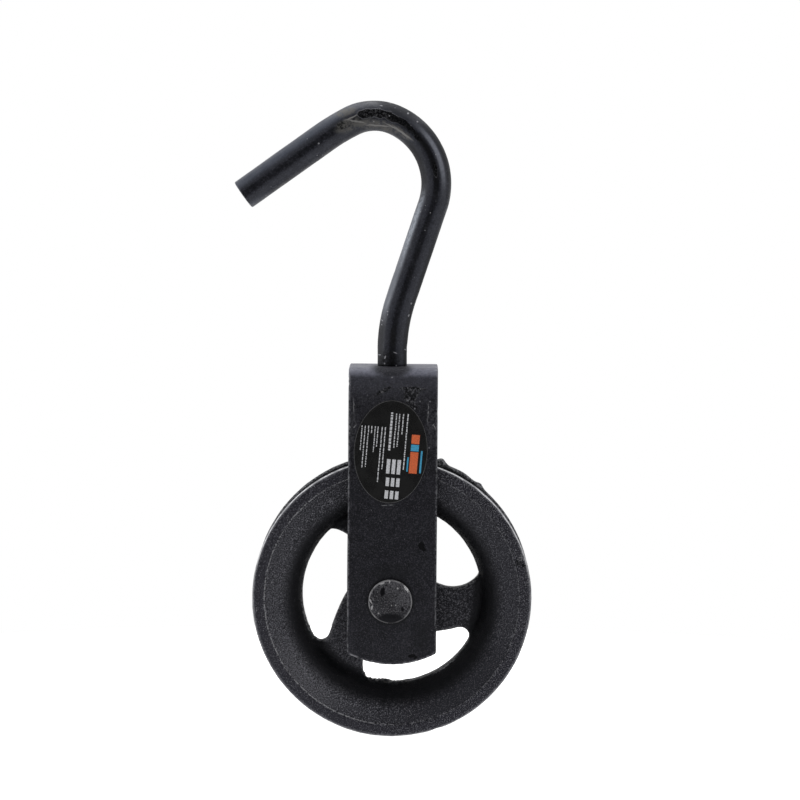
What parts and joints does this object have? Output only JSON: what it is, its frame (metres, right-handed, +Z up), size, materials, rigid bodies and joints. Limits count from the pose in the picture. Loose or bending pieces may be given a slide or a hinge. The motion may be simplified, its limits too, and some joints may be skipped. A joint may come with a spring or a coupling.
{
  "type": "gin wheel",
  "caption": "Rope pulley with a cast spoked wheel in a folded steel strap, hung from a swivelling round-bar hook.",
  "frame": {"origin": "hook seat: the highest point inside the hook's bend, on the bar's surface", "axes": "+Z up as it hangs, +X towards the stem side of the hook seen from the front, -Y towards the front, along the axle"},
  "size_m": [0.2042, 0.0676, 0.4331],
  "materials": {
    "hook_paint": "satin black paint",
    "washer_paint": "satin black paint",
    "strap_paint": "satin black paint",
    "rivet_paint": "satin black paint",
    "bare_steel": "turned, dull",
    "casting_paint": "sand cast, painted satin black",
    "label_film": "smooth film with plain printed bars"
  },
  "bodies": {
    "hook": {"hook": "hook_paint", "hook_washer": "washer_paint"},
    "yoke": {"yoke": "strap_paint", "axle": "rivet_paint", "axle_washer": "washer_paint", "axle_sleeve": "bare_steel", "label": "label_film"},
    "wheel": {"wheel": "casting_paint"}
  },
  "joints": [
    {"name": "yoke_swivel", "type": "hinge", "parent": "hook", "child": "yoke", "pos_m": [0.0129, 0, -0.16063], "axis": [0, 0, 1], "continuous": true},
    {"name": "wheel_spin", "type": "hinge", "parent": "yoke", "child": "wheel", "pos_m": [0.0139, 0, -0.31813], "axis": [0, 1, 0], "continuous": true}
  ]
}
